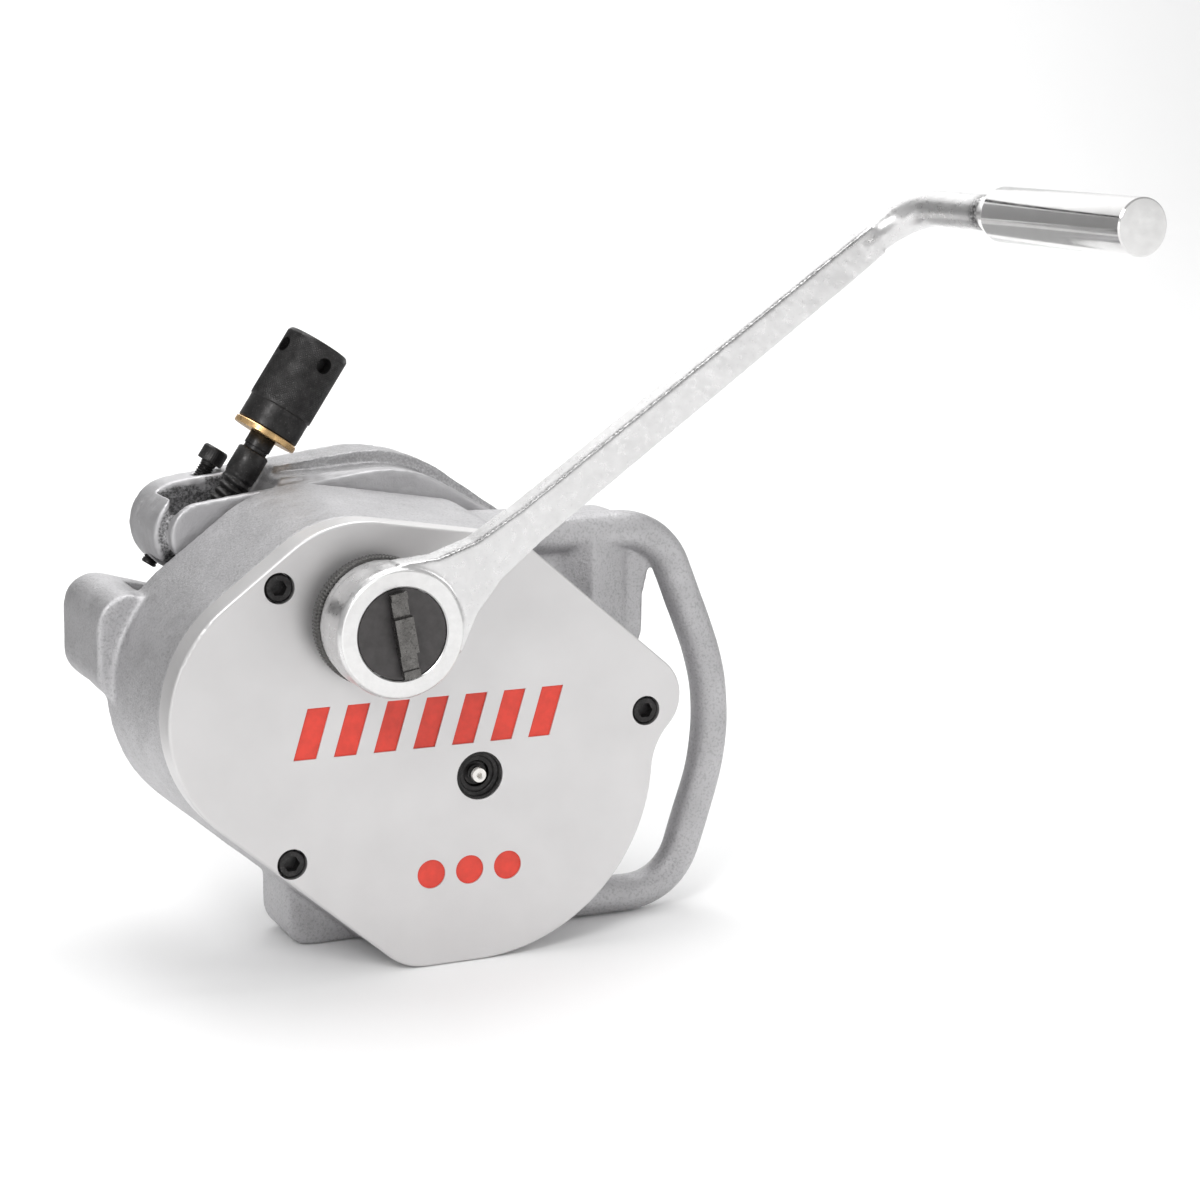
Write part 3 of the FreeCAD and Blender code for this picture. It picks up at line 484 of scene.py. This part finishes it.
def wrench(nodes, mats):
    voxel = 0.5
    forging = rebuilt("wrench_forging", mesh_of(nodes["ratchet_body"]), voxel, 20, lever_softness,
                      lever_relief)
    edge_line_and_painted_shade(forging)
    ready(forging, "wrench", "forged_chrome", mats["forged_chrome"], "ratchet_body")
    rows = [(16.35, 62.4), (16.35, 65.9), (16.75, 66.3), (21.7, 66.3), (22.1, 66.05), (22.35, 65.3),
            (22.35, 62.4)]
    face = turned_ring("head_face_ring", rows, place(INPUT[0], 0, INPUT[1]), FORWARD, 192)
    ready(face, "wrench", "forged_chrome", mats["machined_ring"])
    grip_rows = [(5.6, 112.2), (6.3, 112.0), (6.8, 112.4), (GRIP_RADIUS - 0.25, 119.2), (GRIP_RADIUS, 120.0),
                 (GRIP_RADIUS, 198.5), (GRIP_RADIUS - 0.5, 199.0)]
    grip = wrapped("grip_shell", grip_rows, place(LEVER_END[0], 0, LEVER_END[1]), FORWARD, 128, angle=28)
    ready(grip, "grip", "polished_chrome", mats["polished_chrome"], "grip_sleeve")


# ---------------------------------------------------------------- turned and threaded pieces
def diamond_knurl(pitch, depth, start, end, radius):
    around = round(2 * math.pi * radius / pitch)

    def relief(r, station, turn):
        inside = min(station - start, end - station)
        if inside <= 0 or r < radius - 0.05:
            return r
        one = (around * turn / (2 * math.pi) + station / pitch) % 1.0
        two = (around * turn / (2 * math.pi) - station / pitch) % 1.0
        groove = max(abs(2 * one - 1), abs(2 * two - 1))
        return r - depth * min(1.0, inside / pitch) * max(0.0, groove - 0.35) / 0.65
    return relief, around


def feed_pieces(mats):
    origin_x, origin_z = feed_point(0.0)
    origin = place(origin_x, FEED_Y, origin_z)

    relief, around = diamond_knurl(1.15, 0.22, 36.6, 63.9, 12.7)
    rows = [(5.05, 26.8), (11.7, 26.8), (12.2, 27.3), (12.2, 36.2), (12.35, 36.3)]
    rows += [(12.7, s) for s in stations(36.7, 63.9, 0.29)]
    rows += [(12.3, 64.6), (11.8, 65.2), (5.05, 65.2), (5.05, 59.6), (0.4, 59.4)]
    knob = wrapped("knob_knurled", rows, origin, FEED_UP, around * (6), relief, angle=40)
    centre_x, centre_z = feed_point(-57.8)
    across = Vector((math.cos(FEED_TILT), 0, -math.sin(FEED_TILT)))
    turns = [KNOB_HOLE_TURN + k * math.pi / 2 for k in range(4)]
    cutters = [wrapped("hole", [(3.0, 7.0), (3.0, 16.0)], place(centre_x, FEED_Y, centre_z),
                       across * math.sin(turn) - Vector((0, math.cos(turn), 0)), 40) for turn in turns]
    ready(drilled(knob, cutters), "feed", "black_oxide", mats["black_oxide"], "feed_knob")

    relief = thread_relief(3.0, 1.05, -61.0, 7.2, hand=-1.0)
    rows = [(4.0, -86.5), (4.5, -86.0), (4.5, -61.9), (5.4, -61.6)]
    rows += [(5.95, s) for s in stations(-61.0, 7.2, 0.22)]
    rows += [(6.0, 7.7), (6.2, 8.0), (6.2, 17.0), (5.6, 17.6), (4.7, 17.8), (4.7, 19.1), (5.2, 19.3),
             (5.2, 24.1), (5.0, 24.3), (5.0, 59.3)]
    screw = wrapped("screw_threaded", rows, origin, FEED_UP, 96, relief, angle=50)
    ready(screw, "feed", "black_oxide", mats["black_oxide"], "feed_screw")

    rows = [(5.3, 24.25), (12.3, 24.25), (12.7, 24.6), (12.7, 26.3), (12.4, 26.65), (5.3, 26.65)]
    washer = turned_ring("thrust_washer", rows, origin, FEED_UP, 128, angle=30)
    ready(washer, "feed", "brass", mats["brass"], "feed_washer")


def knurled_band(mats):
    """The finely toothed steel ring behind the ratchet head; its near-black colour is painted shade, for the
    shade it sits in behind the head.
    """
    teeth = 110

    def relief(r, station, turn):
        if r < 23.3 or station < 38.8 or station > 43.1:
            return r
        return r - 0.45 * (1 - math.cos(teeth * turn)) / 2

    rows = [(15.1, 38.5), (22.9, 38.5), (23.4, 38.9), (23.4, 43.0), (22.9, 43.4), (15.1, 43.4)]
    band = turned_ring("knurled_band", rows, place(INPUT[0], 0, INPUT[1]), FORWARD, teeth * 6, relief, 50)
    ready(band, "input", "steel", mats["knurl_steel_painted_shade"], "knurled_ring")


def grease_nipple(mats):
    """The grease nipple in the end of the drive shaft: a dark flange round a small bright nipple."""
    rows = [(4.6, 26.6), (4.6, 28.0), (4.3, 28.2), (3.3, 28.2), (3.3, 29.4), (2.9, 29.6), (2.2, 29.6),
            (2.2, 26.6)]
    flange = turned_ring("nipple_flange", rows, place(0, 0, 0), FORWARD, 64)
    ready(flange, "drive", "black_oxide", mats["black_oxide"], "drive_grease_fitting")
    rows = [(2.1, 28.3), (2.4, 29.7), (2.4, 30.6), (3.1, 31.1), (3.1, 31.9), (2.6, 32.6), (1.9, 32.7),
            (1.0, 32.4), (1.0, 30.4), (0.1, 30.3), (0.1, 28.3)]
    nipple = turned_ring("nipple_head", rows, place(0, 0, 0), FORWARD, 64, angle=35)
    ready(nipple, "drive", "nickel", mats["nickel"])


def cap_screw(name, origin, axis, head_radius, head_length, radius, length, pitch):
    """A cap screw with a knurled head, a hexagon socket and a thread; the origin is under its head."""
    teeth = 36

    def relief(r, station, turn):
        if station > 0.6 and station < head_length - 0.8 and r > head_radius - 0.05:
            return r - 0.12 * (1 - math.cos(teeth * turn)) / 2
        return thread_relief(pitch, 0.55 * pitch, -length + 0.6, -0.6)(r, station, turn) if station < 0 else r

    rows = [(radius - 0.5, -length), (radius, -length + 0.5)]
    rows += [(radius, s) for s in stations(-length + 0.6, -0.3, 0.22)]
    rows += [(radius, 0.0), (head_radius - 0.2, 0.0)]
    rows += [(head_radius, s) for s in (0.25, 0.6, 0.7, head_length - 0.9, head_length - 0.8)]
    rows += [(head_radius - 0.5, head_length)]
    body = wrapped(name, rows, origin, axis, 144, relief, angle=40)
    socket_radius = head_radius * 0.60
    socket = wrapped("socket", [(socket_radius, head_length * 0.45), (socket_radius, head_length + 1)],
                     origin, axis, 6, angle=20)
    return drilled(body, [socket])


def stop_and_cover_screws(mats):
    x, z = feed_point(-6.0, STOP_OFFSET)
    stop = cap_screw("stop_cap_screw", place(x, STOP_Y, z), FEED_UP, 5.0, 6.0, 3.0, 45.0, 1.0)
    ready(stop, "stop", "black_oxide", mats["black_oxide"], "stop_screw")
    heads = []
    for x, z in COVER_SCREWS:
        screw = cap_screw("cover_cap_screw", place(x, -26.4, z), FORWARD, 5.0, 6.0, 3.0, 22.0, 1.0)
        heads.append(screw)
    ready(joined(heads, "cover_cap_screws"), "housing", "black_oxide", mats["black_oxide"], "cover_screws")


def window_painted_shade_and_grease_liner(mats):
    """A dark stepped lining in the window over the drive shaft's end: painted shade for the shade in the
    recess, and grease on the bore's wall.
    """
    rows = [(8.95, 29.5), (8.95, 32.2), (8.3, 32.2), (8.0, 31.8), (8.0, 30.6), (6.9, 30.4), (6.6, 30.1),
            (6.6, 29.5)]
    liner = turned_ring("shaft_window_painted_shade_and_grease_liner", rows, place(0, 0, 0), FORWARD, 96)
    ready(liner, "housing", "black_oxide", mats["black_oxide"])


# ---------------------------------------------------------------- CAD pieces in view
# Width of the broken edges, in mm.
BEVELS = {"drive_roll": 0.35, "groove_roll": 0.35, "roll_nut": 0.4, "roll_washer": 0.3, "main_shaft": 0.3,
          "selector_lever": 0.35, "ratchet_face_disc": 0.3, "arm_pivot_pin": 0.4, "groove_roll_shaft": 0.5,
          "feed_anchor": 0.4, "anchor_nut": 0.35, "feed_nut": 0.3, "feed_nut_pins": 0.4,
          "pivot_pin_clip": 0.15, "input_front_bush": 0.2, "head_rear_plate": 0.25, "knob_pin": 0.2,
          "drive_shaft_seal": 0.3}


def dress(frame, mats):
    """Gives each CAD node its finish, and each machined piece in view broken edges."""
    slots = {part["node"]: part["material_slot"] for part in frame["record"]["subparts"]}
    for body, names in frame["record"]["behaviour"]["bodies"].items():
        for name in names:
            node = frame["nodes"][name]
            paint(node, mats[slots[name]])
            if name not in BEVELS:
                continue
            piece = new_object(name + "_finished", mesh_of(node), 32)
            bevel = piece.modifiers.new("edges", "BEVEL")
            bevel.width = BEVELS[name] * MM
            bevel.segments = 2
            bevel.limit_method = "ANGLE"
            bevel.angle_limit = math.radians(32)
            shading = piece.modifiers.new("shading", "WEIGHTED_NORMAL")
            shading.keep_sharp = True
            shading.weight = 90
            ready(piece, body, slots[name], mats[slots[name]], name)


# ---------------------------------------------------------------- camera, light, floor
def camera():
    azimuth, elevation, roll = math.radians(25.15), math.radians(11.15), math.radians(0.58)
    right = Vector((math.cos(azimuth), -math.sin(azimuth), 0.0))
    forward = Vector((math.sin(azimuth) * math.cos(elevation), math.cos(azimuth) * math.cos(elevation),
                      -math.sin(elevation)))
    up = right.cross(forward)
    side = math.cos(roll) * right + math.sin(roll) * up
    top = math.cos(roll) * up - math.sin(roll) * right
    data = bpy.data.cameras.new("camera")
    data.lens = 80.0
    data.sensor_width = 36.0
    data.clip_start = 0.01
    obj = bpy.data.objects.new("camera", data)
    turn = Matrix((side, top, -forward)).transposed().to_4x4()
    obj.matrix_world = Matrix.Translation(CAMERA_AT) @ turn
    bpy.context.scene.collection.objects.link(obj)
    bpy.context.scene.camera = obj


def area_light(name, where, aim, width, height, power):
    data = bpy.data.lights.new(name, "AREA")
    data.shape = "RECTANGLE"
    data.size = width
    data.size_y = height
    data.energy = power
    obj = bpy.data.objects.new(name, data)
    obj.location = where
    obj.rotation_euler = (Vector(aim) - Vector(where)).to_track_quat("-Z", "Y").to_euler()
    obj.visible_camera = False
    bpy.context.scene.collection.objects.link(obj)


def board(name, where, aim, width, height, tone):
    """A board out of the camera's sight that shows only in reflections."""
    mesh = bpy.data.meshes.new(name)
    w, h = width / 2, height / 2
    mesh.from_pydata([(-w, -h, 0), (w, -h, 0), (w, h, 0), (-w, h, 0)], [], [(0, 1, 2, 3)])
    obj = bpy.data.objects.new(name, mesh)
    obj.location = where
    obj.rotation_euler = (Vector(aim) - Vector(where)).to_track_quat("-Z", "Y").to_euler()
    bpy.context.scene.collection.objects.link(obj)
    paint(obj, material(name, (tone, tone, tone), 0.0, 0.9, spread=0.02, size=4))
    obj.visible_camera = False
    obj.visible_shadow = False
    obj.visible_diffuse = False


def studio():
    world = bpy.data.worlds.new("studio")
    world.use_nodes = True
    world.node_tree.nodes["Background"].inputs["Color"].default_value = (1.0, 1.0, 1.0, 1.0)
    world.node_tree.nodes["Background"].inputs["Strength"].default_value = 0.50
    bpy.context.scene.world = world
    bpy.context.scene.view_settings.view_transform = "Standard"
    area_light("key", (-0.9, -1.1, 1.3), (0.0, 0.0, 0.1), 0.6, 0.6, 13.0)
    area_light("fill", (1.3, -0.9, 0.7), (0.0, 0.0, 0.1), 0.6, 0.9, 3.0)
    area_light("side", (-1.15, -1.15, 0.35), (0.05, 0.0, 0.12), 0.6, 0.6, 1.2)
    area_light("low", (0.534, -0.998, 0.10), (0.159, -0.199, 0.275), 0.5, 0.3, 0.3)
    area_light("top", (0.1, 0.3, 1.5), (0.0, 0.0, 0.1), 1.0, 1.0, 11.0)
    area_light("backdrop", (0.5, 1.2, 1.8), (0.6, 2.4, 0.8), 2.4, 1.2, 27.0)
    board("grey_board", (-0.75, 1.25, 0.40), (0.1, 0.0, 0.30), 1.6, 0.78, 0.24)
    board("grey_floor", (-0.25, 0.80, 0.003), (-0.25, 0.80, 1.0), 1.1, 1.1, 0.33)
    board("dark_strip", (-0.55, 1.22, 0.84), (0.1, 0.0, 0.30), 1.8, 0.11, 0.012)
    curved_floor()


def curved_floor():
    """A pale floor that curves up into a backdrop."""
    start, radius, steps = 1.6, 0.8, 12
    rows = [(-3.0, 0.0), (start, 0.0)]
    for k in range(1, steps + 1):
        turn = math.pi / 2 * k / steps
        rows.append((start + radius * math.sin(turn), radius - radius * math.cos(turn)))
    rows.append((start + radius, 3.4))
    verts = [(x, y, z) for y, z in rows for x in (-5.0, 5.0)]
    faces = [(2 * i, 2 * i + 1, 2 * i + 3, 2 * i + 2) for i in range(len(rows) - 1)]
    mesh = bpy.data.meshes.new("floor")
    mesh.from_pydata(verts, [], faces)
    floor = new_object("floor", mesh, angle=60)
    floor.location.z = -0.0002
    paint(floor, material("floor", (0.93, 0.93, 0.93), 0.0, 0.9, spread=0.004, size=2))


def main():
    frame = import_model()
    camera()
    studio()
    mats = finishes()
    castings(frame["nodes"], mats)
    wrench(frame["nodes"], mats)
    feed_pieces(mats)
    stop_and_cover_screws(mats)
    window_painted_shade_and_grease_liner(mats)
    knurled_band(mats)
    grease_nipple(mats)
    dress(frame, mats)
    bpy.context.view_layer.update()


main()
